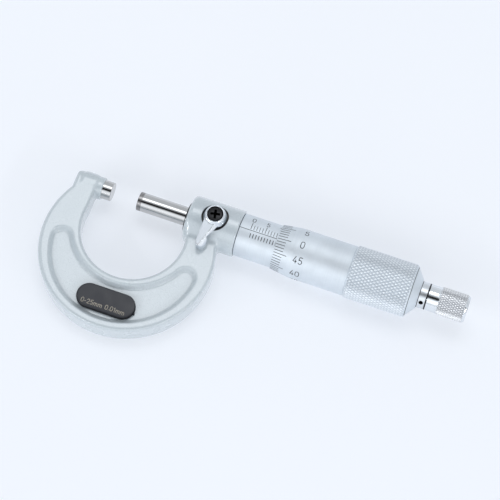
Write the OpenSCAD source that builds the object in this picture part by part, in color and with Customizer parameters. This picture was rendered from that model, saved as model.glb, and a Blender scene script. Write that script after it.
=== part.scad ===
// Outside micrometer, 0-25 mm, with lock lever and ratchet stop.
// X runs along the spindle towards the ratchet, the C-frame lies towards -Y,
// Z points out of the nameplate side. The origin is the centre of the anvil face.

/* [Measuring] */
// Opening between the anvil face and the spindle face
opening = 9.5; // [0:0.5:25]
// Diameter of the anvil and of the spindle
spindle_d = 6.5; // [6:0.05:7]
// Length of anvil that stands out of the frame
anvil_out = 3.3; // [2:0.1:6]
// Length of the hard tip on the spindle
tip_len = 1.5; // [0.5:0.1:3]

/* [Frame] */
// Radius of the frame's outer edge
ring_r = 29.7; // [27:0.1:33]
// Outer edge centre along X
ring_x = 12.5; // [10:0.1:15]
// Outer edge centre along Y
ring_y = -19; // [-22:0.5:-16]
// Radius of the throat
throat_r = 17.7; // [16:0.1:19]
// Throat centre along X
throat_x = 12.2; // [10:0.1:15]
// Throat centre along Y
throat_y = -12; // [-14:0.5:-10]
// Thickness of the frame
frame_t = 8.6; // [7:0.1:11]
// Chamfer on the frame's edges
edge_c = 1; // [0.4:0.1:1.6]
// Thickness of the web between the two recesses
web_t = 5.2; // [3:0.1:7]
// Radius of the recess outer wall
recess_ro = 25.6; // [24:0.1:27]
// Radius of the recess inner wall
recess_ri = 20.5; // [19.5:0.1:22]
// Y of the rounded recess ends
recess_end_y = -22.9; // [-26:0.1:-20]
// Left end of the anvil arm
arm_x0 = -13.1; // [-15:0.1:-11]
// Half height of the anvil arm
arm_h = 3.7; // [3.6:0.1:5]
// Radius of the spindle boss
boss_r = 8.1; // [7.8:0.1:9]
// Left face of the spindle boss
boss_x0 = 27.6; // [26:0.1:29]
// Right face of the spindle boss
boss_x1 = 45.6; // [44:0.1:48]

/* [Sleeve and thimble] */
// Diameter of the graduated sleeve
sleeve_d = 14.8; // [14:0.1:16]
// Position of the sleeve's zero mark
zero_x = 49.5; // [48:0.1:52]
// Thimble diameter between bevel and knurl
thimble_d = 17.3; // [16.5:0.1:18]
// Thimble diameter at the bevel edge
bevel_d = 15.4; // [15.2:0.1:16]
// Length of the bevel
bevel_len = 6.5; // [5:0.1:8]
// Diameter over the knurl
knurl_d = 18.4; // [18:0.1:20]
// Start of the knurl behind the thimble edge
knurl_from = 26.3; // [20:0.1:30]
// Length of the knurl
knurl_len = 21.2; // [15:0.1:25]

/* [Lock] */
// Position of the lock along X
lock_x = 36.9; // [33:0.1:40]
// Height of the seat flat above the axis
seat_z = 6.4; // [6:0.1:7.5]
// Diameter of the black seat ring
seat_d = 9.6; // [8:0.1:10]
// Diameter of the hub at its base
hub_d = 7.8; // [7:0.1:9]
// Diameter of the hub's top rim
rim_d = 6.5; // [6:0.1:7.5]
// Height of the hub's top rim
hub_top = 10.4; // [9:0.1:12]
// Reach of the lever arm
arm_reach = 12.2; // [9:0.1:14]
// Direction of the lever arm, from -Y towards -X
arm_angle = 8.4; // [-10:0.1:30]

/* [Ratchet] */
// Diameter of the polished neck
neck_d = 9; // [8:0.1:10]
// Diameter over the knob's knurl
knob_d = 9.8; // [9:0.1:12]
// Distance from thimble edge to the neck
neck_from = 50.3; // [48:0.1:54]
// Length of the neck
neck_len = 2.7; // [2:0.1:4]
// Length of the knob with its smooth ring
knob_len = 13.8; // [11:0.1:16]
// Direction of the neck's spanner hole, from +Z towards -Y
hole_angle = 58; // [0:1:90]

/* [Nameplate] */
// Length of the plate
plate_len = 20.4; // [16:0.1:24]
// Width of the plate
plate_w = 8.6; // [6:0.1:10]
// Thickness of the plate
plate_t = 1.7; // [0.8:0.1:2]

/* [Hidden] */
$fn = 72;
sp_r = spindle_d / 2;
half_t = frame_t / 2;
sleeve_r = sleeve_d / 2;
th_r = thimble_d / 2;
kn_r = knurl_d / 2;
datum_angle = 3;
shank_r = 2.8;
// inner sleeve
bush_r = 5;
bush_out_r = sleeve_r - 1.1;
bush_x0 = boss_x0 - 0.35;
guide_x1 = 44;
guide_r = sp_r + 0.02;
relief_r = 4.1;
nut_x0 = 70;
nut_x1 = 84;
thread_r = 3.75;
bush_end_r = 5.6;
// moving group, placed by the opening
thx = zero_x + opening;
knurl_x0 = thx + knurl_from;
knurl_x1 = knurl_x0 + knurl_len;
seat_x0 = thx + 39;
seat_x1 = thx + 44.5;
cap_r = 7;
neck_x0 = thx + neck_from;
neck_x1 = neck_x0 + neck_len;
knob_x0 = neck_x1 + 0.2;
knob_x1 = knob_x0 + knob_len;
stem_r = 1.5;
face_x = knob_x0 + 2.4;
stem_end = knob_x0 + 8.8;
// lock
shoe_r = 1.95;
stud_r = 2;
shoe_top = 4.85;
drive = 3;
arm_z = 8.3;

// revolve a profile of [radius, x] points about the X axis
module xrev(pts) {
    rotate([0, 90, 0])
        rotate_extrude()
            polygon(pts);
}

module xcyl(x0, x1, r) {
    translate([x0, 0, 0])
        rotate([0, 90, 0])
            cylinder(h = x1 - x0, r = r);
}

module zcyl(x, y, z0, z1, r) {
    translate([x, y, z0])
        cylinder(h = z1 - z0, r = r);
}

// disc with chamfered rims
module ring_barrel() {
    translate([ring_x, ring_y, 0])
        rotate_extrude($fn = 128)
            polygon([
                [0, -half_t],
                [ring_r - edge_c, -half_t],
                [ring_r, edge_c - half_t],
                [ring_r, half_t - edge_c],
                [ring_r - edge_c, half_t],
                [0, half_t]
            ]);
}

// throat cutter with flared mouths
module throat_tool() {
    translate([throat_x, throat_y, 0])
        rotate_extrude($fn = 128)
            polygon([
                [0, -half_t - 1],
                [throat_r + edge_c + 1, -half_t - 1],
                [throat_r, edge_c - half_t],
                [throat_r, half_t - edge_c],
                [throat_r + edge_c + 1, half_t + 1],
                [0, half_t + 1]
            ]);
    // straight wall under the anvil and the measuring gap
    translate([-5.3, throat_y, -half_t - 1])
        cube([17, -3.9 - throat_y, frame_t + 2]);
    translate([-anvil_out, -8, -half_t - 1])
        cube([boss_x0 + anvil_out, 20, frame_t + 2]);
}

module recess_outline() {
    half_o = sqrt(pow(recess_ro, 2) - pow(recess_end_y + 20, 2));
    half_i = sqrt(pow(recess_ri, 2) - pow(recess_end_y - throat_y, 2));
    end_r = (half_o - half_i) / 2;
    difference() {
        translate([ring_x, ring_y - 1])
            circle(recess_ro, $fn = 128);
        translate([ring_x, throat_y])
            circle(recess_ri, $fn = 128);
        translate([ring_x - 40, recess_end_y])
            square([80, 60]);
    }
    for (side = [-1, 1])
        translate([ring_x + side * (half_i + end_r), recess_end_y - 0.8])
            circle(end_r);
}

// arm that carries the anvil, chamfered along its edges
module anvil_arm() {
    intersection() {
        translate([0, 0, -half_t])
            linear_extrude(frame_t)
                polygon([
                    [arm_x0, -7],
                    [arm_x0, arm_h - 1.5],
                    [arm_x0 + 1.5, arm_h],
                    [-anvil_out, arm_h],
                    [-anvil_out, -7]
                ]);
        translate([arm_x0, 0, 0])
            rotate([90, 0, 90])
                linear_extrude(-anvil_out - arm_x0)
                    polygon([
                        [-7, -half_t],
                        [arm_h - 1.4, -half_t],
                        [arm_h, 1.4 - half_t],
                        [arm_h, half_t - 1.4],
                        [arm_h - 1.4, half_t],
                        [-7, half_t]
                    ]);
    }
}

module frame_plate() {
    difference() {
        union() {
            intersection() {
                ring_barrel();
                translate([-40, -60, -10])
                    cube([100, 58, 20]);
            }
            anvil_arm();
        }
        throat_tool();
        // recess on each side of the web
        for (z = [web_t / 2, -web_t / 2 - frame_t])
            translate([0, 0, z])
                linear_extrude(frame_t)
                    recess_outline();
    }
}

module frame() {
    color([0.80, 0.84, 0.86])
    difference() {
        union() {
            frame_plate();
            xcyl(-9, -anvil_out, 3.9);
            xrev([
                [0, boss_x0],
                [5.4, boss_x0],
                [6.9, boss_x0 + 0.35],
                [boss_r, boss_x0 + 1.6],
                [boss_r, boss_x1 - 0.4],
                [boss_r - 0.4, boss_x1],
                [0, boss_x1]
            ]);
        }
        // anvil bore
        xcyl(-11, 0, shank_r);
        // bore for the inner sleeve
        xcyl(boss_x0 - 1, boss_x1 + 1, bush_r);
        // spot face and tapped hole of the lock
        zcyl(lock_x, 0, seat_z, 12, 5.2);
        zcyl(lock_x, 0, 0, 12, stud_r + 0.06);
    }
}

module anvil() {
    color([0.72, 0.73, 0.75])
    xrev([
        [0, -11],
        [shank_r, -11],
        [shank_r, -anvil_out],
        [sp_r, -anvil_out],
        [sp_r, -0.15],
        [sp_r - 0.15, 0],
        [0, 0]
    ]);
}

module nameplate() {
    flat = plate_len - plate_w;
    color([0.08, 0.08, 0.09])
    translate([12.7, -39, web_t / 2])
        linear_extrude(plate_t) {
            translate([-flat / 2, -plate_w / 2])
                square([flat, plate_w]);
            for (side = [-1, 1])
                translate([side * flat / 2, 0])
                    circle(plate_w / 2);
            // moulding nib
            translate([plate_len / 2 - 0.3, -1])
                circle(0.5, $fn = 24);
        }
}

module inner_sleeve() {
    color([0.35, 0.35, 0.37])
    difference() {
        xrev([
            [guide_r, bush_x0],
            [bush_r - 0.2, bush_x0],
            [bush_r, bush_x0 + 0.2],
            [bush_r, boss_x1],
            [bush_out_r, boss_x1],
            [bush_out_r, 77],
            [bush_end_r, 77],
            [bush_end_r, nut_x1],
            [thread_r + 0.05, nut_x1],
            [thread_r + 0.05, nut_x0],
            [relief_r, nut_x0],
            [relief_r, guide_x1],
            [guide_r, guide_x1]
        ]);
        // hole for the lock shoe
        zcyl(lock_x, 0, 0, 8, stud_r + 0.06);
        // three slits let the nut close the thread
        for (a = [0, 120, 240])
            rotate([a, 0, 0])
                translate([nut_x0 + 2, -0.3, 2])
                    cube([nut_x1, 0.6, 8]);
    }
}

module adjusting_nut() {
    color([0.55, 0.55, 0.57])
    difference() {
        xrev([
            [bush_end_r, 77.6],
            [6.8, 77.6],
            [7.05, 77.9],
            [7.05, 83],
            [6.8, 83.3],
            [bush_end_r, 83.3]
        ]);
        // spanner notches
        for (a = [0, 90, 180, 270])
            rotate([a, 0, 0])
                translate([82.2, -0.6, 6.2])
                    cube([3, 1.2, 3]);
    }
}

module sleeve() {
    color([0.82, 0.84, 0.86])
    difference() {
        xrev([
            [bush_out_r + 0.05, boss_x1 + 0.15],
            [sleeve_r - 0.1, boss_x1 + 0.15],
            [sleeve_r, boss_x1 + 0.25],
            [sleeve_r, 76.8],
            [sleeve_r - 0.2, 77],
            [bush_out_r + 0.05, 77]
        ]);
        // spanner hole opposite the datum line
        rotate([datum_angle, 0, 0])
            zcyl(boss_x1 + 4.4, 0, -12, 0, 0.9);
    }
}

module spindle_tip() {
    color([0.32, 0.32, 0.34])
    xrev([
        [0, opening],
        [sp_r - 0.1, opening],
        [sp_r, opening + 0.1],
        [sp_r, opening + tip_len],
        [0, opening + tip_len]
    ]);
}

module spindle() {
    x0 = opening + tip_len;
    tx = opening + 45;
    color([0.74, 0.75, 0.77])
    difference() {
        xrev([
            [0, x0],
            [sp_r, x0],
            [sp_r, tx],
            [thread_r, tx],
            [thread_r, tx + 39.7],
            [3.2, tx + 39.7],
            [3.2, seat_x0 - 1],
            [4.8, seat_x0 - 1],
            [4.2, seat_x1],
            [0, seat_x1]
        ]);
        xcyl(seat_x0 - 1, seat_x1 + 1, 1.6);
    }
}

module thimble() {
    lip = sleeve_r + 0.07;
    bore = sleeve_r + 0.25;
    color([0.80, 0.82, 0.84])
    xrev([
        [lip, thx],
        [bevel_d / 2 - 0.05, thx],
        [bevel_d / 2, thx + 0.05],
        [th_r, thx + bevel_len],
        [th_r, knurl_x0 - 0.3],
        [kn_r, knurl_x0 + 0.3],
        [kn_r, knurl_x1 - 0.4],
        [kn_r - 0.5, knurl_x1],
        [cap_r, knurl_x1],
        [cap_r, seat_x1],
        [4.2, seat_x1],
        [4.2 + 0.6 * (seat_x1 - seat_x0) / (seat_x1 - seat_x0 + 1), seat_x0],
        [bore, seat_x0],
        [bore, thx + 2],
        [lip, thx + 1.5]
    ]);
}

module thimble_cap() {
    color([0.82, 0.84, 0.86])
    xrev([
        [1.7, seat_x1],
        [cap_r, seat_x1],
        [cap_r, knurl_x1],
        [8.1, knurl_x1],
        [8.1, knurl_x1 + 0.3],
        [5.1, neck_x0 - 0.1],
        [4.9, neck_x0],
        [1.7, neck_x0]
    ]);
}

module ratchet_body() {
    color([0.86, 0.87, 0.88])
    difference() {
        xrev([
            [0, seat_x0],
            [1.6, seat_x0],
            [1.6, neck_x0],
            [neck_d / 2 - 0.15, neck_x0],
            [neck_d / 2, neck_x0 + 0.15],
            [neck_d / 2, neck_x1 - 0.2],
            [neck_d / 2 - 0.2, neck_x1],
            [stem_r, neck_x1],
            [stem_r, stem_end],
            [0, stem_end]
        ]);
        // spanner hole
        rotate([hole_angle, 0, 0])
            zcyl((neck_x0 + neck_x1) / 2, 0, 2.4, 8, 0.75);
        // tapped end
        xcyl(stem_end - 4, stem_end + 1, 0.9);
        // key slots
        for (a = [0, 180])
            rotate([a, 0, 0])
                translate([face_x + 0.8, -0.4, 1])
                    cube([5, 0.8, 2]);
    }
}

module ratchet_keys() {
    color([0.5, 0.5, 0.52])
    for (a = [0, 180])
        rotate([a, 0, 0])
            translate([face_x + 0.8, -0.4, 1])
                cube([5, 0.8, 1]);
}

// ring of twelve face teeth
module face_teeth(x0, x1, phase) {
    translate([x0, 0, 0])
        rotate([0, 90, 0])
            for (i = [0:11])
                rotate([0, 0, i * 30 + phase])
                    rotate_extrude(angle = 13)
                        translate([2.3, 0])
                            square([1.1, x1 - x0]);
}

module ratchet_knob() {
    kr = knob_d / 2;
    nr = neck_d / 2;
    color([0.80, 0.81, 0.83])
    union() {
        xrev([
            [stem_r + 0.05, knob_x0],
            [nr - 0.2, knob_x0],
            [nr, knob_x0 + 0.2],
            [nr, knob_x0 + 3.4],
            [kr, knob_x0 + 4],
            [kr, knob_x1 - 1.1],
            [kr - 0.75, knob_x1],
            [3.7, knob_x1],
            [3.7, face_x],
            [stem_r + 0.05, face_x]
        ]);
        face_teeth(face_x - 0.1, face_x + 0.45, -6.5);
    }
}

module ratchet_disc() {
    color([0.45, 0.45, 0.47])
    difference() {
        union() {
            xcyl(face_x + 0.6, face_x + 2, 3.6);
            face_teeth(face_x + 0.15, face_x + 0.7, 8.5);
        }
        xcyl(face_x, face_x + 3, stem_r + 0.05);
        translate([face_x, -0.46, -2.1])
            cube([3, 0.92, 4.2]);
    }
}

module ratchet_spring() {
    x0 = face_x + 2;
    x1 = stem_end;
    turns = 5;
    wire = 0.25;
    step = (x1 - x0 - 2 * wire) / (turns - 1);
    color([0.6, 0.6, 0.62])
    union() {
        for (i = [0:turns - 1])
            translate([x0 + wire + i * step, 0, 0])
                rotate([0, 90, 0])
                    rotate_extrude()
                        translate([2.7, 0])
                            circle(wire, $fn = 16);
        // crossovers between neighbouring coils
        for (i = [0:turns - 2])
            rotate([i * 90 + 45, 0, 0])
                translate([x0 + wire + i * step, 0, 2.7])
                    rotate([0, 90, 0])
                        cylinder(h = step, r = 0.2, $fn = 16);
    }
}

module ratchet_washer() {
    color([0.6, 0.6, 0.62])
    xrev([
        [0.95, stem_end],
        [3.3, stem_end],
        [3.3, stem_end + 0.6],
        [0.95, stem_end + 0.6]
    ]);
}

module ratchet_screw() {
    color([0.3, 0.3, 0.32])
    difference() {
        xrev([
            [0, stem_end - 3.8],
            [0.9, stem_end - 3.8],
            [0.9, stem_end + 0.6],
            [1.9, stem_end + 0.6],
            [1.9, stem_end + 1.5],
            [1.6, stem_end + 1.8],
            [0, stem_end + 1.8]
        ]);
        translate([stem_end + 1.2, -0.25, -3])
            cube([2, 0.5, 6]);
    }
}

module ratchet_end_plug() {
    color([0.82, 0.83, 0.85])
    xrev([
        [0, knob_x1 - 1.8],
        [3.7, knob_x1 - 1.8],
        [3.7, knob_x1 - 0.3],
        [3.4, knob_x1 - 0.05],
        [0, knob_x1 - 0.05]
    ]);
}

module lock_seat() {
    color([0.05, 0.05, 0.05])
    difference() {
        zcyl(lock_x, 0, seat_z, seat_z + 0.5, seat_d / 2);
        zcyl(lock_x, 0, seat_z - 1, seat_z + 1, 2.4);
    }
}

module lock_shoe() {
    color([0.76, 0.62, 0.30])
    difference() {
        zcyl(lock_x, 0, 2.4, shoe_top, shoe_r);
        // saddle for the spindle, clear of it by the lock stroke
        translate([0, 0, 0.14])
            xcyl(lock_x - 3, lock_x + 3, sp_r + 0.03);
    }
}

module lock_stud() {
    color([0.5, 0.5, 0.52])
    difference() {
        union() {
            zcyl(lock_x, 0, shoe_top, 7.1, stud_r);
            translate([lock_x, 0, 7])
                rotate([0, 0, -arm_angle])
                    translate([-drive / 2, -drive / 2, 0])
                        cube([drive, drive, 2]);
        }
        zcyl(lock_x, 0, 5.6, 10, 0.95);
    }
}

module lock_lever() {
    color([0.78, 0.80, 0.82])
    difference() {
        translate([lock_x, 0, 0])
            rotate([0, 0, -arm_angle])
            union() {
                cylinder_hub();
                // arm, raised to pass over the boss, and its thick tip
                hull() {
                    translate([-2.4, -3.2, arm_z])
                        cube([4.6, 1, 9.7 - arm_z]);
                    translate([-1.8, -8, arm_z])
                        cube([3.4, 0.6, 8.9 - arm_z]);
                }
                hull() {
                    translate([-1.8, -8, arm_z])
                        cube([3.4, 0.6, 8.9 - arm_z]);
                    translate([-1.2, -arm_reach + 0.6, 6.9])
                        cube([2.2, 0.6, 1.5]);
                    translate([-1.4, -arm_reach + 1.2, 6.9])
                        cube([2.9, 1, 0.4]);
                }
                hull() {
                    translate([-1.2, -arm_reach + 0.3, 6.9])
                        cube([2.2, 2, 0.3]);
                    translate([-0.9, -arm_reach, 5.2])
                        cube([1.8, 2, 0.3]);
                    translate([-1, -arm_reach, 6.3])
                        cube([2, 2, 1.7]);
                }
            }
        // counterbore, screw hole and square drive
        zcyl(lock_x, 0, 9.2, 12, 2.75);
        zcyl(lock_x, 0, 7, 12, 0.95);
        translate([lock_x, 0, 6])
            rotate([0, 0, -arm_angle])
                translate([-drive / 2, -drive / 2, 0])
                    cube([drive, drive, 3]);
    }
}

// tapered hub of the lever
module cylinder_hub() {
    rotate_extrude()
        polygon([
            [0, 7.1],
            [hub_d / 2 - 0.2, 7.1],
            [hub_d / 2, 7.3],
            [hub_d / 2 - 0.15, 8.3],
            [rim_d / 2, hub_top - 0.25],
            [rim_d / 2 - 0.2, hub_top],
            [0, hub_top]
        ]);
}

module lock_screw() {
    color([0.05, 0.05, 0.05])
    difference() {
        translate([lock_x, 0, 0])
            rotate_extrude()
                polygon([
                    [0, 6],
                    [0.95, 6],
                    [0.95, 9.2],
                    [2.65, 9.2],
                    [2.65, 9.9],
                    [2.3, 10.2],
                    [1.4, 10.35],
                    [0, 10.4]
                ]);
        // cross recess
        for (a = [0, 90])
            translate([lock_x, 0, 9.7])
                rotate([0, 0, a + 12])
                    translate([-1.4, -0.3, 0])
                        cube([2.8, 0.6, 2]);
    }
}

frame();
anvil();
nameplate();
inner_sleeve();
adjusting_nut();
sleeve();
spindle_tip();
spindle();
thimble();
thimble_cap();
ratchet_body();
ratchet_keys();
ratchet_disc();
ratchet_spring();
ratchet_washer();
ratchet_screw();
ratchet_knob();
ratchet_end_plug();
lock_seat();
lock_shoe();
lock_stud();
lock_lever();
lock_screw();
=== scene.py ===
"""Outside micrometer, 0-25 mm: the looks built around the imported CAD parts.

Sizes are in millimetres in the CAD frame and become metres in add_mesh(), unless said otherwise.
X runs along the spindle, the C-frame lies towards -Y, Z points out of the plate side.
Places round the axis are angles in degrees from +Z towards -Y.
"""

import math

import bpy
import numpy as np
from mathutils import Matrix, Vector


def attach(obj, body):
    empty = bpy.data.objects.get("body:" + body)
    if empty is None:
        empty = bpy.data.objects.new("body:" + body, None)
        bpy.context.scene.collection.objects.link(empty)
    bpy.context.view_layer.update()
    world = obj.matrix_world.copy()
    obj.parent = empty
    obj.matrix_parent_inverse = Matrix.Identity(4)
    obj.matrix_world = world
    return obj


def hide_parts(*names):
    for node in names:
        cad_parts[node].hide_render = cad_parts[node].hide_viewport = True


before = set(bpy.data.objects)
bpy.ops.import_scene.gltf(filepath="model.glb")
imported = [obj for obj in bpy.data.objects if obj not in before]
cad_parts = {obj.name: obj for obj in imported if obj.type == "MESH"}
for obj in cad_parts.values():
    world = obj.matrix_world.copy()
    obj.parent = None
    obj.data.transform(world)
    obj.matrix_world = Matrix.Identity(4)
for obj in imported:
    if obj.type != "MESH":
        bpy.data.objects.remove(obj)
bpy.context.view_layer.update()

MM = 0.001

# above this angle, in degrees, an edge of a lock part or of a cut part is drawn sharp
SHARP_ANGLE = 35

# frame casting; a circle is (x, y, radius)
HALF_T = 4.3
EDGE_ROUND = 1.3
RING = (12.5, -19.0, 29.7)
RING_TOP = -2.5
THROAT = (12.2, -12.0, 17.7)
THROAT_TOP_RIGHT = (12.0, 12.0)
WALL_X = -5.3
ARM_X0, ARM_X1 = -13.1, -3.3
ARM_FOOT, ARM_TOP = -16.0, 3.85
ARM_ROUND = 3.2
CREST_X1 = 10
BARREL_X0 = -10
BOSS_X0, BOSS_X1, BOSS_R = 27.6, 45.6, 8.1
BUSH_R = 5.0
SHANK_R, SHANK_X0 = 2.8, -11
STUD_HOLE_R, STUD_HOLE_Z0 = 2.06, 3
CUT_PLAY, CUT_PAST = 0.01, 2
FRAME_LOW, FRAME_HIGH, FRAME_STEP = (-17.9, -49.6, -8.9), (46.6, 8.9, 8.9), 0.35

# crescent pocket; POCKET_END is (x from the ring's middle, y, radius) and stands on both sides
POCKET_OUT = (12.5, -20.0, 26.2)
POCKET_IN = (12.5, -11.0, 20.7)
POCKET_END = (21.93, -22.6, 4.1)
POCKET_DEPTH = 1.75
POCKET_WALL = 1.6
WALL_STRAIGHT, WALL_CURVED = 0.65, 0.35
WALL_SCALE = 0.75

# widths over which surfaces of the casting melt together
MELT_RING, MELT_THROAT, MELT_POCKET = 1.2, 0.3, 0.35
MELT_BARREL_END, MELT_BARREL = 0.5, 1.3
MELT_SHOULDER, MELT_BOSS_END, MELT_BOSS = 1.8, 0.5, 2.0

# lock seat and hub
LOCK_X = 36.9
SEAT_Z = 6.4
SEAT_T, SEAT_BORE_R, SEAT_PLAY, SEAT_ROUND, SEAT_SEGMENTS = 0.5, 2.4, 0.02, 0.12, 96
SPOT_R = 4.62
HUB_R0, HUB_R1, HUB_Z0, HUB_Z1 = 3.98, 3.2, 7.1, 10.4
HUB_BAND = 0.9
COUNTERBORE_R, COUNTERBORE_Z = 2.75, 9.2
LOCK_TOOL_TOP = 12

# lever arm: w runs along it from the hub's axis, u across it
LEVER_ANGLE = 8.4
LEVER_START, LEVER_END, LEVER_END_ROUND = 1.2, 12.15, 1.5
LEVER_MID = 3
LEVER_TOP, LEVER_FALL = 9.75, 0.16
LEVER_LEFT, LEVER_LEFT_TAPER, LEVER_LEFT_W = 2.75, 0.125, 1.5
LEVER_RIGHT, LEVER_RIGHT_TAPER = 2.15, 0.165
LEVER_LEAN, LEVER_BEVEL = 0.30, 0.75
LEVER_UNDER = 8.3
TAIL_W, TAIL_LEN, TAIL_DROP = 8, 2.6, 3.1
MELT_HUB_TOP, MELT_HUB_FOOT, MELT_HUB_BORE, MELT_HUB_ARM = 0.75, 0.2, 0.18, 0.25
MELT_LEVER_SIDES, MELT_LEVER_TOP, MELT_LEVER_UNDER = 0.3, 0.2, 0.3
# the slanted sides are scaled to keep the field close to a distance
RIGHT_SCALE, BEVEL_SCALE, UNDER_SCALE = 0.95, 0.7, 0.75
LEVER_LOW, LEVER_HIGH, LEVER_STEP = (32.3, -13.0, 4.6), (41.4, 4.6, 10.9), 0.13
DRIVE_R, DRIVE_Z0, DRIVE_Z1 = 1.9, 6, 9.25

# cross-recess screw
SCREW_R, SCREW_TOP, SCREW_DOME = 2.65, 10.35, 0.045
SCREW_SHANK_R, SCREW_SHANK_Z0, SCREW_SHANK_Z1 = 0.95, 6, 9.6
CROSS_ANGLE = 12
CROSS_HALF, CROSS_REACH, CROSS_FLOOR = 0.40, 1.7, 9.5
CROSS_TAPER, CROSS_SIDE = 0.35, 0.12
# the cross recess within this radius and below this depth wears painted shade
CROSS_SHADE_R, CROSS_SHADE_DEPTH = 1.9, 0.22
MELT_SCREW_EDGE, MELT_CROSS = 0.5, 0.1
SCREW_LOW, SCREW_HIGH, SCREW_STEP = (33.9, -3.0, 5.8), (39.9, 3.0, 10.8), 0.075

# plate
PLATE = (12.7, -39.0)
PLATE_LEN, PLATE_W = 20.4, 8.6
PLATE_Z0, PLATE_Z1 = 2.6, 4.3
PLATE_SHOULDER, PLATE_SHOULDER_W, PLATE_SHOULDER_H = 0.55, 0.5, 0.48
SHOULDER_ANGLES = range(15, 91, 15)
# faces whose normals rise above this wear the plate's top material; the rest wear a darker, duller
# copy as painted shade
PLATE_TOP_NORMAL = 0.8
# the faint crown, as inset from the edge and depth below the top
PLATE_CROWN = ((0.8, 0.055), (1.6, 0.03), (2.6, 0.015), (3.6, 0))
PLATE_END_STEPS = 28
NIB_STEPS, NIB_INSET, NIB_DOWN = 20, 0.25, 1
NIB_R, NIB_TOP_R = 0.5, 0.38
NIB_WALL_END, NIB_SUNK = 0.9, 0.75
RANGE_TEXT, RANGE_HEIGHT, RANGE_AT = "0-25mm 0.01mm", 1.62, (-0.2, -2.3)
RANGE_STROKE = 0.2

# sleeve and its marks; a mark's place round the axis is an angle
SLEEVE_R = 7.4
SLEEVE_X0 = 45.8
ZERO_X = 49.5
DATUM, DATUM_X0, DATUM_X1 = 3.0, SLEEVE_X0 + 0.1, 76.5
SLEEVE_MM, NUMBER_EVERY = 25, 5
MM_MARK, LONG_MARK, SHORT_MARK = -0.3, -20.0, -13.2
HALF_MARK = (11.3, 21.9)
SLEEVE_LINE, SLEEVE_FINE_LINE, HALF_LINE = 0.18, 0.16, 0.24
SLEEVE_FIGURE_ANGLE, SLEEVE_FIGURE_H, SLEEVE_FIGURE_W = -31.0, 2.0, 0.2
SLEEVE_FIGURE_SHIFT = 0.1

# thimble and its marks
THIMBLE_X0 = 59.0
BEVEL_R, THIMBLE_R, BEVEL_LEN = 7.7, 8.65, 6.5
KNURL_X0, KNURL_X1, KNURL_R = 85.3, 106.5, 9.2
KNURL_DEPTH, UNDER_KNURL = 0.30, 0.12
KNURL_ROWS, KNURL_AROUND = 10.5, 49
GROOVE_W, GROOVE_DEPTH = 0.40, 0.2
CAP_X0, CAP_R0, CAP_R1, CAP_LEN = 98.0, 4.73, 4.2, 5.5
CAP_ROOM_R = 7.0
BORE_R, LIP_R, LIP_END, LIP_SLOPE_END = 7.65, 7.47, 1.5, 2
# small chamfers, as length and depth
FRONT_CHAMFER, CORE_CHAMFER = (0.06, 0.03), (0.3, 0.25)
GROOVE_EDGE = 0.05
# the rim that ends the knurling, and how far before it the band stops
RIM_LEN, RIM_BORE_R, RIM_LOW, RIM_LOWER, BAND_SHORT = 0.4, 8.0, 0.12, 0.5, 0.35
THIMBLE_ROUND, RIM_ROUND, THIMBLE_SEGMENTS = 0.05, 0.08, 200
DIVISIONS = 50
THIMBLE_ZERO, DIVISION_ANGLE = 0.7, 7.2
THIMBLE_LONG_MARK, THIMBLE_MARK, THIMBLE_LINE = 4.7, 3.2, 0.21
THIMBLE_FIGURE_X, THIMBLE_FIGURE_H, THIMBLE_FIGURE_W = 67.8, 2.45, 0.24
MARK_INSET = 0.2

# ratchet neck and knob
NECK_X0, NECK_X1, NECK_R = 109.3, 112.0, 4.5
HOLE_ANGLE, HOLE_R, HOLE_OUT, HOLE_IN, HOLE_STEPS = 58.0, 0.74, 4.40, 3.2, 40
KNOB_X0, KNOB_X1, KNOB_R = 112.2, 126.0, 4.9
KNOB_RING_R, KNOB_RING_LEN = 4.5, 3.4
KNOB_KNURL_X0, KNOB_KNURL_X1 = 116.2, 125.1
KNOB_DEPTH, KNOB_UNDER_KNURL, KNOB_RUN_OUT = 0.27, 0.1, 0.2
KNOB_ROWS, KNOB_AROUND = 5.5, 35
KNOB_BORE_R, KNOB_WALL = 1.55, 2.4
KNOB_CHAMFER, KNOB_SHOULDER = 0.15, (0.1, 0.22)
KNOB_END_LOW, KNOB_END_LOWER = 0.1, 0.75
KNOB_ROUND, KNOB_SEGMENTS = 0.08, 160
PLUG_R = 3.7

# black rings: the bush's own black lip, and painted shade in the narrow gaps at the knurl and neck;
# name, body, from x, to x, inner and outer radius
DARK_GAPS = (
    ("bush_lip", "frame", BOSS_X0 - 0.65, BOSS_X0 + 0.2, 3.4, BUSH_R - 0.08),
    ("knurl_gap_painted_shade", "thimble", KNURL_X1 - 0.1, KNURL_X1 + 0.14, 7.5, 8.42),
    ("neck_gap_left_painted_shade", "thimble", NECK_X0 - 0.05, NECK_X0 + 0.22, 4.0, NECK_R + 0.03),
    ("neck_gap_right_painted_shade", "thimble", NECK_X1 - 0.12, KNOB_X0 - 0.01, 2.0, NECK_R + 0.02),
)
GAP_ROUND, GAP_SEGMENTS = 0.04, 128

# diamond knurling: mesh steps to a diamond, and how much of its height stays
DIAMOND_STEPS = 8
DIAMOND_TOP = 0.82
# share of the height left at the end of the run-out, what grows back along it, and how far it sinks
RUN_OUT_KEPT, RUN_OUT_GROWN, RUN_OUT_SINK = 0.35, 0.65, 0.25
BAND_THICKNESS = 0.35

# printed marks: their height over the surface, the step of a ribbon and how far its ends run past
INK_LIFT, STROKE_LIFT = 0.012, 0.003
STROKE_STEP = 0.3
STROKE_PAST = 0.3

# corners of a turned outline: the cosines between which one is rounded, and its share of a side
NEARLY_STRAIGHT, NEARLY_FOLDED, CORNER_SHARE = -0.996, 0.98, 0.45

# how far the tone of turned metal wanders to either side, and the span a noise mostly keeps to
TONE_CHANGE = 0.04
NOISE_LOW, NOISE_HIGH = 0.3, 0.7

# the plane it rests on, found from the lowest three points of the CAD hull
FLOOR_UP = (0.01953, 0.07144, 0.99725)
FLOOR_OFFSET = -7.54

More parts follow.
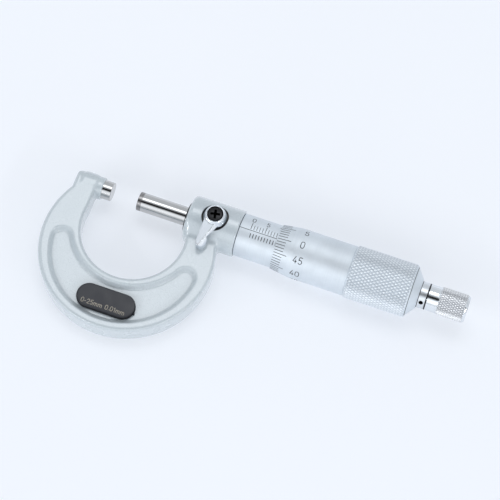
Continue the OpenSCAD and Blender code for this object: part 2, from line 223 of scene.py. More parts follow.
# camera fitted to the photograph's view
CAMERA_AT = (0.12542, -0.24576, 0.59899)
CAMERA_RIGHT = (0.9426, 0.3336, 0.0172)
CAMERA_UP = (-0.3137, 0.8664, 0.3884)
LENS_MM, SENSOR_MM = 139.4, 36.0

# floor paper and light, in metres and watts; heights in the sky are those of a unit direction
FLOOR_R = 6.0
PAPER_LOW, PAPER_HIGH = (0.515, 0.525, 0.55), (0.522, 0.532, 0.557)
PAPER_GLOW, PAPER_GLOW_STRENGTH = (0.895, 0.937, 1.0), 0.472
SKY_STRENGTH = 0.92
SKY_TINT = (0.90, 0.945, 1.0)
# brightness from the -Y side (0) over the top (0.5) to the +Y side (1), dark at the gap in a tent
SKY_STOPS = [(0.0, 0.70), (0.06, 0.80), (0.12, 1.55), (0.26, 1.60), (0.355, 0.02), (0.445, 0.02),
             (0.51, 0.85), (0.56, 1.0), (0.64, 0.95), (0.72, 0.80), (1.0, 0.82)]
HORIZON_LEVEL = 0.9
HORIZON_Z0, HORIZON_Z1 = 0.16, 0.36
LIT_POINT = (0.045, -0.015, 0.0)
# name, place, width, height, power, colour
SOFTBOXES = (
    ("back", (0.0, 0.47, 1.22), 0.84, 0.5, 2.2, (0.96, 0.98, 1.0)),
    ("left_strip", (-0.62, -0.80, 0.60), 0.80, 0.05, 1.9, (1.0, 1.0, 1.0)),
    ("right_strip", (1.03, -0.46, 0.50), 0.80, 0.05, 1.9, (1.0, 1.0, 1.0)),
)


# ---------------------------------------------------------------- meshes

def add_mesh(name, verts, faces, material, body, smooth_angle=40.0):
    """A mesh object from points in mm, shaded smooth below smooth_angle."""
    mesh = bpy.data.meshes.new(name)
    mesh.from_pydata((np.asarray(verts, float) * MM).tolist(), [], faces)
    mesh.validate()
    mesh.update()
    mesh.shade_smooth()
    if smooth_angle < 180:
        mesh.set_sharp_from_angle(angle=math.radians(smooth_angle))
    obj = bpy.data.objects.new(name, mesh)
    bpy.context.scene.collection.objects.link(obj)
    mesh.materials.append(material)
    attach(obj, body)
    return obj


def round_corners(points, radius, steps=4):
    """A closed [x, r] outline with each corner replaced by a small arc."""
    pts = np.asarray(points, float)
    out = []
    for i, p in enumerate(pts):
        a, b = pts[i - 1] - p, pts[(i + 1) % len(pts)] - p
        la, lb = np.linalg.norm(a), np.linalg.norm(b)
        a, b = a / la, b / lb
        cos = float(np.clip(a @ b, -1, 1))
        if cos < NEARLY_STRAIGHT or cos > NEARLY_FOLDED:
            out.append(p)
            continue
        half = math.acos(cos) / 2
        back = min(radius / math.tan(half), CORNER_SHARE * la, CORNER_SHARE * lb)
        rad = back * math.tan(half)
        mid = (a + b) / np.linalg.norm(a + b)
        centre = p + mid * rad / math.sin(half)
        s, e = p + a * back - centre, p + b * back - centre
        a0, a1 = math.atan2(s[1], s[0]), math.atan2(e[1], e[0])
        turn = (a1 - a0 + math.pi) % (2 * math.pi) - math.pi
        for k in range(steps + 1):
            t = a0 + turn * k / steps
            out.append(centre + rad * np.array([math.cos(t), math.sin(t)]))
    return np.array(out)


def lathe(name, outline, material, body, radius, segments):
    """Turns a closed [x, r] outline, corners rounded by radius, about the X axis."""
    prof = round_corners(outline, radius)
    n, m = len(prof), segments
    ang = np.arange(m) * 2 * math.pi / m
    verts = np.stack([
        np.repeat(prof[:, 0], m),
        (-prof[:, 1:2] * np.sin(ang)).ravel(),
        (prof[:, 1:2] * np.cos(ang)).ravel(),
    ], 1)
    faces = []
    for i in range(n):
        j = (i + 1) % n
        for k in range(m):
            q = (k + 1) % m
            faces.append((i * m + k, i * m + q, j * m + q, j * m + k))
    return add_mesh(name, verts, faces, material, body)


def knurl(name, x0, x1, radius, depth, rows, around, material, body, lead=0.25):
    """A band of diamond knurling: flat-topped pyramids between two sets of helical grooves."""
    per = DIAMOND_STEPS
    nx, na = round(rows * per), around * per
    i, j = np.meshgrid(np.arange(nx + 1), np.arange(na), indexing="ij")

    def from_groove(k):
        return np.abs(k / per - np.round(k / per))

    height = np.minimum(from_groove(i + j), from_groove(i - j)) / 0.5
    height = np.minimum(height, DIAMOND_TOP) / DIAMOND_TOP
    x = x0 + (x1 - x0) * i / nx
    # the wheel runs out at both ends
    fade = np.clip(np.minimum(x - x0, x1 - x) / lead, 0, 1)
    kept = RUN_OUT_KEPT + RUN_OUT_GROWN * fade
    r = radius - depth + depth * height * kept - RUN_OUT_SINK * depth * (1 - fade)
    ang = j * 2 * math.pi / na
    verts = np.stack([x.ravel(), (-r * np.sin(ang)).ravel(), (r * np.cos(ang)).ravel()], 1)
    faces = []
    for a in range(nx):
        for b in range(na):
            q = (b + 1) % na
            p00, p01, p11, p10 = a * na + b, a * na + q, (a + 1) * na + q, (a + 1) * na + b
            if (a + b) % 2 == 0:
                faces += [(p00, p01, p11), (p00, p11, p10)]
            else:
                faces += [(p01, p11, p10), (p01, p10, p00)]
    # skirts at both ends and a hidden inner wall close the band
    base, last = len(verts), nx * na
    rim = radius - depth - BAND_THICKNESS
    for end in (x0, x1):
        verts = np.vstack([verts, np.stack([
            np.full(na, end), -rim * np.sin(ang[0]), rim * np.cos(ang[0])], 1)])
    for b in range(na):
        q = (b + 1) % na
        faces.append((base + b, base + q, q, b))
        faces.append((last + b, last + q, base + na + q, base + na + b))
        faces.append((base + q, base + b, base + na + b, base + na + q))
    obj = add_mesh(name, verts, faces, material, body, smooth_angle=18.0)
    # heights for the knurled materials, which turn them into painted shade in the grooves and a
    # painted highlight on the tops
    tops = obj.data.attributes.new("knurl_top", "FLOAT", "POINT")
    tops.data.foreach_set("value", np.append(height.ravel(), np.zeros(2 * na)).astype(np.float32))
    return obj


# ---------------------------------------------------------------- solids from distance fields

def smooth_min(a, b, k):
    h = np.clip(k - np.abs(a - b), 0, None) / k
    return np.minimum(a, b) - h * h * k / 4


def smooth_max(a, b, k):
    return -smooth_min(-a, -b, k)


def slab_round(d, z, half, r):
    """Distance to a plate of outline distance d and half thickness half, edges rounded by r."""
    wx, wz = d + r, np.abs(z) - half + r
    out = np.hypot(np.maximum(wx, 0), np.maximum(wz, 0))
    return np.minimum(np.maximum(wx, wz), 0) + out - r


def disc(x, y, circle):
    return np.hypot(x - circle[0], y - circle[1]) - circle[2]


def box2(x, y, x0, x1, y0, y1):
    dx = np.abs(x - (x0 + x1) / 2) - (x1 - x0) / 2
    dy = np.abs(y - (y0 + y1) / 2) - (y1 - y0) / 2
    return np.minimum(np.maximum(dx, dy), 0) + np.hypot(np.maximum(dx, 0), np.maximum(dy, 0))


def net(field, low, high, step):
    """Surface nets: points and quads of field = 0, the points then pulled onto it."""
    low, high = np.array(low, float), np.array(high, float)
    n = np.ceil((high - low) / step).astype(int) + 1
    axes = [low[i] + step * np.arange(n[i]) for i in range(3)]
    d = field(*np.meshgrid(*axes, indexing="ij"))
    cells = tuple(n - 1)
    total, count = np.zeros(cells + (3,)), np.zeros(cells)
    for axis in range(3):
        others = [a for a in range(3) if a != axis]
        for u in (0, 1):
            for w in (0, 1):
                at = [slice(0, -1)] * 3
                at[others[0]] = slice(u, n[others[0]] - 1 + u)
                at[others[1]] = slice(w, n[others[1]] - 1 + w)
                to = list(at)
                to[axis] = slice(1, None)
                d0, d1 = d[tuple(at)], d[tuple(to)]
                cross = (d0 < 0) != (d1 < 0)
                t = np.where(cross, d0 / np.where(cross, d0 - d1, 1), 0)
                shift = [0.0, 0.0, 0.0]
                shift[others[0]], shift[others[1]] = u, w
                for c in range(3):
                    total[..., c] += np.where(cross, t if c == axis else shift[c], 0)
                count += cross
    used = count > 0
    ids = np.full(cells, -1)
    ids[used] = np.arange(used.sum())
    cell = np.argwhere(used)
    pts = low + step * (cell + total[used] / count[used][:, None])
    faces = []
    for axis in range(3):
        b, c = [(1, 2), (2, 0), (0, 1)][axis]
        at = [slice(1, -1)] * 3
        at[axis] = slice(0, -1)
        to = [slice(1, -1)] * 3
        to[axis] = slice(1, None)
        d0, d1 = d[tuple(at)], d[tuple(to)]
        for flip in (False, True):
            hit = np.argwhere((d0 >= 0) & (d1 < 0) if flip else (d0 < 0) & (d1 >= 0))
            base = hit.copy()
            base[:, [b, c]] += 1
            quad = []
            for ob, oc in ((1, 1), (0, 1), (0, 0), (1, 0)):
                k = base.copy()
                k[:, b] -= ob
                k[:, c] -= oc
                quad.append(ids[k[:, 0], k[:, 1], k[:, 2]])
            quad = np.stack(quad[::-1] if flip else quad, 1)
            faces.append(quad)
    faces = np.concatenate(faces)
    # two steps towards the true surface
    e = step * 0.05
    for _ in range(2):
        x, y, z = pts.T
        f = field(x, y, z)
        g = np.stack([
            field(x + e, y, z) - field(x - e, y, z),
            field(x, y + e, z) - field(x, y - e, z),
            field(x, y, z + e) - field(x, y, z - e)], 1) / (2 * e)
        size = np.maximum((g * g).sum(1), 0.25)
        move = -(f / size)[:, None] * g
        length = np.linalg.norm(move, axis=1, keepdims=True)
        pts = pts + move * np.minimum(1, 0.5 * step / np.maximum(length, 1e-9))
    return pts, faces.tolist()


# ---------------------------------------------------------------- drawn strokes

def arc(cx, cy, rx, ry, a0, a1, n=12):
    return [(cx + rx * math.cos(math.radians(a0 + (a1 - a0) * k / n)),
             cy + ry * math.sin(math.radians(a0 + (a1 - a0) * k / n))) for k in range(n + 1)]


# single-stroke glyphs in a box one high; each has its width and its strokes
GLYPHS = {
    "0": (0.56, [arc(0.28, 0.70, 0.25, 0.27, 0, 180, 10)
                 + arc(0.28, 0.30, 0.25, 0.27, 180, 360, 10) + [(0.53, 0.70)]]),
    "1": (0.36, [[(0.05, 0.74), (0.26, 0.97), (0.26, 0.03)]]),
    "2": (0.56, [arc(0.28, 0.70, 0.24, 0.27, 165, -20, 10)
                 + [(0.46, 0.52), (0.04, 0.03), (0.54, 0.03)]]),
    "3": (0.56, [arc(0.27, 0.74, 0.22, 0.23, 160, -80, 10)
                 + arc(0.27, 0.28, 0.25, 0.25, 85, -165, 12)]),
    "4": (0.60, [[(0.34, 0.97), (0.04, 0.26), (0.57, 0.26)], [(0.42, 0.50), (0.42, 0.03)]]),
    "5": (0.56, [[(0.50, 0.97), (0.12, 0.97), (0.07, 0.54)]
                 + arc(0.27, 0.31, 0.25, 0.28, 130, -150, 14)]),
    "-": (0.40, [[(0.06, 0.40), (0.34, 0.40)]]),
    ".": (0.20, [[(0.10, 0.02), (0.10, 0.10)]]),
    " ": (0.34, []),
    "m": (0.84, [[(0.05, 0.0), (0.05, 0.62)],
                 arc(0.23, 0.42, 0.18, 0.19, 180, 0, 8) + [(0.41, 0.0)],
                 arc(0.59, 0.42, 0.18, 0.19, 180, 0, 8) + [(0.77, 0.0)]]),
}
LETTER_GAP = 0.16


def text_strokes(text, height, centre=(0, 0)):
    """Strokes of a line of glyphs, centred on centre."""
    width = sum(GLYPHS[c][0] for c in text) + LETTER_GAP * (len(text) - 1)
    at, out = -width / 2, []
    for c in text:
        w, strokes = GLYPHS[c]
        for s in strokes:
            out.append([((at + px) * height + centre[0],
                         (py - 0.5) * height + centre[1]) for px, py in s])
        at += w + LETTER_GAP
    return out


def ribbons(strokes, place):
    """Flat ribbons along strokes [(points, width)], put in space by place(points, lift).

    Crossing strokes lie a few microns apart, so that no two faces share a plane.
    """
    verts, lift, faces = [], [], []
    for level, (pts, width) in enumerate(strokes):
        p = np.asarray(pts, float)
        # short steps, so that a ribbon follows a curved surface
        dense = [p[0]]
        for a, b in zip(p[:-1], p[1:]):
            k = max(1, int(np.linalg.norm(b - a) / STROKE_STEP))
            dense += [a + (b - a) * (i + 1) / k for i in range(k)]
        p = np.array(dense)
        t = np.gradient(p, axis=0)
        t /= np.maximum(np.linalg.norm(t, axis=1, keepdims=True), 1e-9)
        p[0] -= t[0] * width * STROKE_PAST
        p[-1] += t[-1] * width * STROKE_PAST
        side = np.stack([-t[:, 1], t[:, 0]], 1) * width / 2
        base = len(verts)
        for a, b in zip(p + side, p - side):
            verts += [a, b]
            lift += [STROKE_LIFT * (level % 4)] * 2
        faces += [(base + 2 * k, base + 2 * k + 1, base + 2 * k + 3, base + 2 * k + 2)
                  for k in range(len(p) - 1)]
    return place(np.array(verts), np.array(lift)), faces


def on_round(radius_at):
    """Puts (x, angle in degrees) points onto a turned surface."""
    def place(p, lift):
        r = radius_at(p[:, 0]) + INK_LIFT + lift
        a = np.radians(p[:, 1])
        return np.stack([p[:, 0], -r * np.sin(a), r * np.cos(a)], 1)
    return place


# ---------------------------------------------------------------- materials

class Nodes:
    """Short calls for building one material's node tree."""

    def __init__(self, name):
        self.mat = bpy.data.materials.new(name)
        self.mat.use_nodes = True
        self.tree = self.mat.node_tree
        self.bsdf = self.tree.nodes["Principled BSDF"]
        self.coord = self.add("ShaderNodeTexCoord").outputs["Object"]

    def add(self, kind, **values):
        node = self.tree.nodes.new(kind)
        for key, value in values.items():
            setattr(node, key, value)
        return node

    def link(self, a, b):
        self.tree.links.new(a, b)

    def stretch(self, sx, sy, sz):
        node = self.add("ShaderNodeMapping")
        node.inputs["Scale"].default_value = (sx, sy, sz)
        self.link(self.coord, node.inputs["Vector"])
        return node.outputs["Vector"]

    def noise(self, scale, detail=3.0, vector=None, rough=0.5):
        node = self.add("ShaderNodeTexNoise")
        node.inputs["Scale"].default_value = scale
        node.inputs["Detail"].default_value = detail
        node.inputs["Roughness"].default_value = rough
        self.link(vector or self.coord, node.inputs["Vector"])
        return node.outputs["Fac"]

    def ramp(self, fac, stops):
        node = self.add("ShaderNodeValToRGB")
        el = node.color_ramp.elements
        while len(el) < len(stops):
            el.new(0.5)
        for e, (at, colour) in zip(el, stops):
            e.position = at
            e.color = (*colour, 1)
        self.link(fac, node.inputs["Fac"])
        return node.outputs["Color"]

    def span(self, fac, low, high, to_low, to_high):
        node = self.add("ShaderNodeMapRange")
        limits = {"From Min": low, "From Max": high, "To Min": to_low, "To Max": to_high}
        for key, value in limits.items():
            node.inputs[key].default_value = value
        self.link(fac, node.inputs["Value"])
        return node.outputs["Result"]

    def bump(self, height, strength, distance, normal=None):
        node = self.add("ShaderNodeBump")
        node.inputs["Strength"].default_value = strength
        node.inputs["Distance"].default_value = distance
        self.link(height, node.inputs["Height"])
        if normal:
            self.link(normal, node.inputs["Normal"])
        return node.outputs["Normal"]

    def set(self, **values):
        for key, value in values.items():
            socket = self.bsdf.inputs[key.replace("_", " ")]
            if isinstance(value, bpy.types.NodeSocket):
                self.link(value, socket)
            else:
                socket.default_value = (*value, 1) if isinstance(value, tuple) else value


def enamel(name, colour, dark):
    """Sprayed enamel over a cast body: fine speckle, orange peel and soft unevenness."""
    m = Nodes(name)
    speck = m.noise(3600, 2.0)
    peel = m.noise(1100, 3.0)
    cloud = m.noise(120, 3.0)
    light = tuple(min(1.0, c * 1.10) for c in colour)
    m.set(Base_Color=m.ramp(speck, [(0.30, dark), (0.43, colour), (0.60, colour), (0.70, light)]),
          Roughness=m.span(cloud, NOISE_LOW, NOISE_HIGH, 0.24, 0.32),
          Metallic=0.0, Coat_Weight=1.0, Coat_Roughness=0.09, Coat_IOR=1.7,
          Normal=m.bump(peel, 0.05, 0.00005, m.bump(speck, 0.05, 0.00002)))
    return m.mat


def turned(name, colour, rough, lines=9000, strength=0.08):
    """Metal turned or ground round the X axis: fine rings, a little tone variation."""
    m = Nodes(name)
    rings = m.noise(1.0, 4.0, m.stretch(lines, 60, 60), 0.65)
    cloud = m.noise(160, 3.0)
    low = tuple(c * (1 - TONE_CHANGE) for c in colour)
    high = tuple(min(1.0, c * (1 + TONE_CHANGE)) for c in colour)
    m.set(Base_Color=m.ramp(cloud, [(NOISE_LOW, low), (NOISE_HIGH, high)]), Metallic=1.0,
          Roughness=m.span(rings, NOISE_LOW, NOISE_HIGH, rough * 0.85, rough * 1.15),
          Normal=m.bump(rings, strength, 0.00002))
    return m.mat


def satin(name, colour, rough):
    """Satin chrome over a blasted surface: very fine grain without direction."""
    m = Nodes(name)
    grain = m.noise(9000, 2.0)
    cloud = m.noise(140, 3.0)
    low = tuple(c * 0.97 for c in colour)
    m.set(Base_Color=m.ramp(cloud, [(NOISE_LOW, low), (NOISE_HIGH, colour)]), Metallic=1.0,
          Roughness=m.span(cloud, NOISE_LOW, NOISE_HIGH, rough * 0.93, rough * 1.07),
          Normal=m.bump(grain, 0.06, 0.00002))
    return m.mat


def knurled(name, colour, groove, rough):
    """Chrome over knurling: painted shade darkens the grooves, where dirt also sits, and a painted
    highlight brightens the tops, which wear smoother.
    """
    m = Nodes(name)
    tops = m.add("ShaderNodeAttribute", attribute_name="knurl_top").outputs["Fac"]
    top_highlight = tuple(min(1.0, c * 1.12) for c in colour)
    # the knurl height takes the colour from painted shade in the grooves to a painted highlight on
    # the tops
    m.set(Base_Color=m.ramp(tops, [(0.0, groove), (0.35, groove), (0.75, colour), (1.0, top_highlight)]),
          Metallic=1.0, Roughness=m.span(tops, 0.2, 1.0, rough * 1.5, rough * 0.8),
          Normal=m.bump(m.noise(7000, 2.0), 0.08, 0.00002))
    return m.mat


def plain(name, colour, rough, grain=6000, strength=0.08, gloss=0.5):
    """Plastic, ink or black oxide, also the black of painted shade, with a fine grain and slight
    wear in its gloss.
    """
    m = Nodes(name)
    fine = m.noise(grain, 2.0)
    cloud = m.noise(300, 3.0)
    low = tuple(c * 0.8 for c in colour)
    m.set(Base_Color=m.ramp(cloud, [(NOISE_LOW, low), (NOISE_HIGH, colour)]),
          Metallic=0.0, Specular_IOR_Level=gloss,
          Roughness=m.span(cloud, NOISE_LOW, NOISE_HIGH, rough * 0.85, min(1.0, rough * 1.15)),
          Normal=m.bump(fine, strength, 0.00003))
    return m.mat


# ---------------------------------------------------------------- the frame casting

def casting(x, y, z):
    """The C-frame with its anvil arm and spindle boss, as one soft-edged casting."""
    ring = smooth_max(disc(x, y, RING), y - RING_TOP, MELT_RING)
    arm = box2(x, y, ARM_X0 + ARM_ROUND, WALL_X - ARM_ROUND, ARM_FOOT, ARM_TOP - ARM_ROUND)
    arm = arm - ARM_ROUND
    open_x, open_y = THROAT_TOP_RIGHT
    throat = np.minimum(disc(x, y, THROAT), box2(x, y, WALL_X, open_x, THROAT[1], open_y))
    plate = smooth_max(np.minimum(ring, arm), -throat, MELT_THROAT)
    body = slab_round(plate, z, HALF_T, EDGE_ROUND)
    # a crescent pocket on both faces: between two circles, ended by discs that touch them both
    xm = np.abs(x - POCKET_OUT[0])
    ex, ey, _ = POCKET_END
    past_out = ex * (y - POCKET_OUT[1]) > (ey - POCKET_OUT[1]) * xm
    past_in = ex * (y - POCKET_IN[1]) > (ey - POCKET_IN[1]) * xm
    pocket = np.where(past_out & past_in, disc(xm, y, POCKET_END),
                      np.maximum(disc(x, y, POCKET_OUT), -disc(x, y, POCKET_IN)))
    t = np.clip(-pocket / POCKET_WALL, 0, 1)
    floor = HALF_T - POCKET_DEPTH * (WALL_STRAIGHT * t + WALL_CURVED * t * t * (3 - 2 * t))
    body = smooth_max(body, (np.abs(z) - floor) * WALL_SCALE, MELT_POCKET)
    # half-round top of the anvil arm, and the barrel round the anvil
    crest = y - (ARM_TOP - HALF_T)
    top = np.where(crest > 0, np.hypot(crest, z) - HALF_T, np.abs(z) - HALF_T)
    body = np.where(x < CREST_X1, np.maximum(body, top), body)
    r = np.hypot(y, z)
    barrel = smooth_max(r - ARM_TOP, np.maximum(x - ARM_X1, BARREL_X0 - x), MELT_BARREL_END)
    body = smooth_min(body, barrel, MELT_BARREL)
    # boss round the spindle, its left shoulder well rounded
    boss = smooth_max(r - BOSS_R, BOSS_X0 - x, MELT_SHOULDER)
    boss = smooth_max(boss, x - BOSS_X1, MELT_BOSS_END)
    return smooth_min(body, boss, MELT_BOSS)


def cylinder_between(name, a, b, radius, segments=96):
    """A temporary cutter from point a to point b in mm."""
    a, b = Vector(a) * MM, Vector(b) * MM
    along = b - a
    bpy.ops.mesh.primitive_cylinder_add(vertices=segments, radius=radius * MM, depth=along.length)
    obj = bpy.context.object
    obj.name = name
    turn = along.to_track_quat("Z", "Y").to_matrix().to_4x4()
    obj.matrix_world = Matrix.Translation((a + b) / 2) @ turn
    return obj


def cut(obj, cutters):
    """Takes the cutters out of obj and removes them."""
    for c in cutters:
        mod = obj.modifiers.new("cut", "BOOLEAN")
        mod.operation, mod.solver, mod.object = "DIFFERENCE", "EXACT", c
    bpy.context.view_layer.update()
    depsgraph = bpy.context.evaluated_depsgraph_get()
    solid = bpy.data.meshes.new_from_object(obj.evaluated_get(depsgraph))
    obj.modifiers.clear()
    obj.data = solid
    solid.shade_smooth()
    solid.set_sharp_from_angle(angle=math.radians(SHARP_ANGLE))
    for c in cutters:
        bpy.data.objects.remove(c)


def build_frame(mats):
    pts, faces = net(casting, FRAME_LOW, FRAME_HIGH, FRAME_STEP)
    obj = add_mesh("frame_casting", pts, faces, mats["enamel"], "frame", 180)
    above = (LOCK_X, 0, LOCK_TOOL_TOP)
    cut(obj, [
        cylinder_between("bush", (BOSS_X0 - CUT_PAST, 0, 0), (BOSS_X1 + CUT_PAST, 0, 0),
                         BUSH_R + CUT_PLAY),
        cylinder_between("shank", (SHANK_X0, 0, 0), (0, 0, 0), SHANK_R + CUT_PLAY),
        cylinder_between("spot", (LOCK_X, 0, SEAT_Z), above, SPOT_R),
        cylinder_between("stud", (LOCK_X, 0, STUD_HOLE_Z0), above, STUD_HOLE_R),
    ])
    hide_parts("frame")


# ---------------------------------------------------------------- the lock

def lever_field(x, y, z):
    """The hub and its wedge-shaped arm."""
    a = math.radians(LEVER_ANGLE)
    dx, dy = x - LOCK_X, y
    u = dx * math.cos(a) - dy * math.sin(a)
    w = -dx * math.sin(a) - dy * math.cos(a)
    r = np.hypot(dx, dy)
    rise = np.clip((z - HUB_Z0 - HUB_BAND) / (HUB_Z1 - HUB_Z0 - HUB_BAND), 0, 1)
    cone = r - (HUB_R0 + (HUB_R1 - HUB_R0) * rise)
    hub = smooth_max(smooth_max(cone, z - HUB_Z1, MELT_HUB_TOP), HUB_Z0 - z, MELT_HUB_FOOT)
    top = LEVER_TOP - LEVER_FALL * (w - LEVER_MID)
    left = -(u + LEVER_LEFT - LEVER_LEFT_TAPER * (w - LEVER_LEFT_W))
    edge = u - (LEVER_RIGHT - LEVER_RIGHT_TAPER * (w - LEVER_MID))
    right = (edge - LEVER_LEAN * (top - z)) * RIGHT_SCALE
    bevel = (edge + z - top + LEVER_BEVEL) * BEVEL_SCALE
    drop = TAIL_DROP * np.clip((w - TAIL_W) / TAIL_LEN, 0, 1)
    under = np.where(w < TAIL_W, LEVER_UNDER, LEVER_UNDER - drop)
    arm = smooth_max(smooth_max(left, right, MELT_LEVER_SIDES), w - LEVER_END, LEVER_END_ROUND)
    arm = smooth_max(arm, np.maximum(z - top, bevel), MELT_LEVER_TOP)
    arm = smooth_max(arm, (under - z) * UNDER_SCALE, MELT_LEVER_UNDER)
    arm = np.maximum(arm, LEVER_START - w)
    body = smooth_min(hub, arm, MELT_HUB_ARM)
    bore = np.maximum(r - COUNTERBORE_R, COUNTERBORE_Z - z)
    return smooth_max(body, -bore, MELT_HUB_BORE)


def screw_field(x, y, z):
    """A domed screw with a cross recess whose arms narrow downwards."""
    dx, dy = x - LOCK_X, y
    r = np.hypot(dx, dy)
    head = smooth_max(r - SCREW_R, z - (SCREW_TOP - SCREW_DOME * r * r), MELT_SCREW_EDGE)
    head = np.maximum(head, COUNTERBORE_Z - z)
    shank = np.maximum(r - SCREW_SHANK_R, np.maximum(SCREW_SHANK_Z0 - z, z - SCREW_SHANK_Z1))
    body = np.minimum(head, shank)
    a = math.radians(CROSS_ANGLE)
    p = np.abs(dx * math.cos(a) + dy * math.sin(a))
    q = np.abs(-dx * math.sin(a) + dy * math.cos(a))
    taper = (SCREW_TOP - z) * CROSS_TAPER
    cross = np.minimum(
        np.maximum(p - CROSS_HALF + CROSS_SIDE * taper, q - CROSS_REACH + taper),
        np.maximum(q - CROSS_HALF + CROSS_SIDE * taper, p - CROSS_REACH + taper))
    return smooth_max(body, -np.maximum(cross, CROSS_FLOOR - z), MELT_CROSS)


def build_lock(mats):
    pts, faces = net(lever_field, LEVER_LOW, LEVER_HIGH, LEVER_STEP)
    lever = add_mesh("lock_lever_body", pts, faces, mats["lever"], "lever", SHARP_ANGLE)
    drive = cylinder_between("drive", (LOCK_X, 0, DRIVE_Z0), (LOCK_X, 0, DRIVE_Z1), DRIVE_R, 4)
    cut(lever, [drive])
    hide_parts("lock_lever")
    pts, faces = net(screw_field, SCREW_LOW, SCREW_HIGH, SCREW_STEP)
    screw = add_mesh("lock_screw_body", pts, faces, mats["screw"], "lever", SHARP_ANGLE)
    screw.data.materials.append(mats["recess_shade"])
    # faces deep in the cross recess get a deeper, glossless black as painted shade
    for face in screw.data.polygons:
        c = face.center / MM
        near = math.hypot(c.x - LOCK_X, c.y) < CROSS_SHADE_R
        face.material_index = 1 if near and c.z < SCREW_TOP - CROSS_SHADE_DEPTH else 0
    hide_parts("lock_screw")


def build_seat(mats):
    """The black washer under the hub, turned like the rest and then stood on end."""
    top, rim = SEAT_Z + SEAT_T, SPOT_R - SEAT_PLAY
    ring = lathe("lock_seat_ring", [
        (SEAT_Z, SEAT_BORE_R), (SEAT_Z, rim), (top, rim), (top, SEAT_BORE_R),
    ], mats["black"], "frame", SEAT_ROUND, SEAT_SEGMENTS)
    on_end = Matrix(((0, 0, -1, LOCK_X * MM), (0, 1, 0, 0), (1, 0, 0, 0), (0, 0, 0, 1)))
    ring.data.transform(on_end)
    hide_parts("lock_seat")


# ---------------------------------------------------------------- the plate

def plate_rings():
    """Closed outlines from the underside to the crown, each as (x, y, z) points."""
    flat, rad = (PLATE_LEN - PLATE_W) / 2, PLATE_W / 2
    shoulder_z = PLATE_Z1 - PLATE_SHOULDER
    steps = [(0, PLATE_Z0), (0, shoulder_z)]
    steps += [(PLATE_SHOULDER_W - PLATE_SHOULDER_W * math.cos(math.radians(a)),
               shoulder_z + PLATE_SHOULDER_H * math.sin(math.radians(a)))
              for a in SHOULDER_ANGLES]
    steps += [(inset, PLATE_Z1 - depth) for inset, depth in PLATE_CROWN]
    rings = []
    for inset, z in steps:
        ring = []
        for side in (1, -1):
            for k in range(PLATE_END_STEPS + 1):
                a = math.radians(-90 + 180 * k / PLATE_END_STEPS + (0 if side > 0 else 180))
                ring.append((PLATE[0] + side * flat + (rad - inset) * math.cos(a),
                             PLATE[1] + (rad - inset) * math.sin(a), z))
        rings.append(ring)
    return rings


def nib_rings():
    """The nib left by the mould on the plate's right end."""
    rings = []
    for z, r in ((PLATE_Z0, NIB_R), (PLATE_Z1 - NIB_WALL_END, NIB_R),
                 (PLATE_Z1 - NIB_SUNK, NIB_TOP_R)):
        turns = [2 * math.pi * k / NIB_STEPS for k in range(NIB_STEPS)]
        rings.append([(PLATE[0] + PLATE_LEN / 2 - NIB_INSET + r * math.cos(t),
                       PLATE[1] - NIB_DOWN + r * math.sin(t), z) for t in turns])
    return rings


def stacked(rings, base):
    """Faces of a solid whose outlines lie above one another, points numbered from base."""
    m = len(rings[0])
    faces = [(base + i * m + k, base + i * m + (k + 1) % m,
              base + (i + 1) * m + (k + 1) % m, base + (i + 1) * m + k)
             for i in range(len(rings) - 1) for k in range(m)]
    faces.append(tuple(range(base + (len(rings) - 1) * m, base + len(rings) * m)))
    faces.append(tuple(reversed(range(base, base + m))))
    return faces


def build_plate(mats):
    """A stadium-shaped plate with rounded shoulders, a faint crown and a moulding nib."""
    rings, nib = plate_rings(), nib_rings()
    verts = [p for ring in rings for p in ring]
    faces = stacked(rings, 0) + stacked(nib, len(verts))
    verts += [p for ring in nib for p in ring]
    plate = add_mesh("plate_body", verts, faces, mats["plate"], "frame", 30)
    plate.data.materials.append(mats["plate_side_shade"])
    # the sides get the darker, duller copy of the plate black as painted shade
    for face in plate.data.polygons:
        face.material_index = 0 if face.normal.z > PLATE_TOP_NORMAL else 1
    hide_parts("nameplate")
    line = text_strokes(RANGE_TEXT, RANGE_HEIGHT, (PLATE[0] + RANGE_AT[0], PLATE[1] + RANGE_AT[1]))
    top = PLATE_Z1 + INK_LIFT
    verts, faces = ribbons([(s, RANGE_STROKE) for s in line],
                           lambda p, lift: np.column_stack([p, top + lift]))
    add_mesh("plate_range_text", verts, faces, mats["print"], "frame", 180)


# ---------------------------------------------------------------- scales

def thimble_radius(x):
    return np.interp(x, [THIMBLE_X0, THIMBLE_X0 + BEVEL_LEN], [BEVEL_R, THIMBLE_R])


def round_text(text, x, angle, height, width, radius):
    """Glyph strokes wrapped round the axis: +X to the right, up towards smaller angles."""
    out = []
    for s in text_strokes(text, height):
        out.append(([(x + px, angle - math.degrees(py / radius)) for px, py in s], width))
    return out


def build_round_marks(name, strokes, radius, radius_at, material, body):
    """Ribbons whose points are (x, degrees), with true widths on a surface of that radius."""
    scale = math.radians(1) * radius
    flat = [([(x, a * scale) for x, a in pts], w) for pts, w in strokes]
    place = on_round(radius_at)
    verts, faces = ribbons(
        flat, lambda p, lift: place(np.column_stack([p[:, 0], p[:, 1] / scale]), lift))
    # degrees run downwards, so each face is turned over to look outwards
    return add_mesh(name, verts, [f[::-1] for f in faces], material, body, 180)


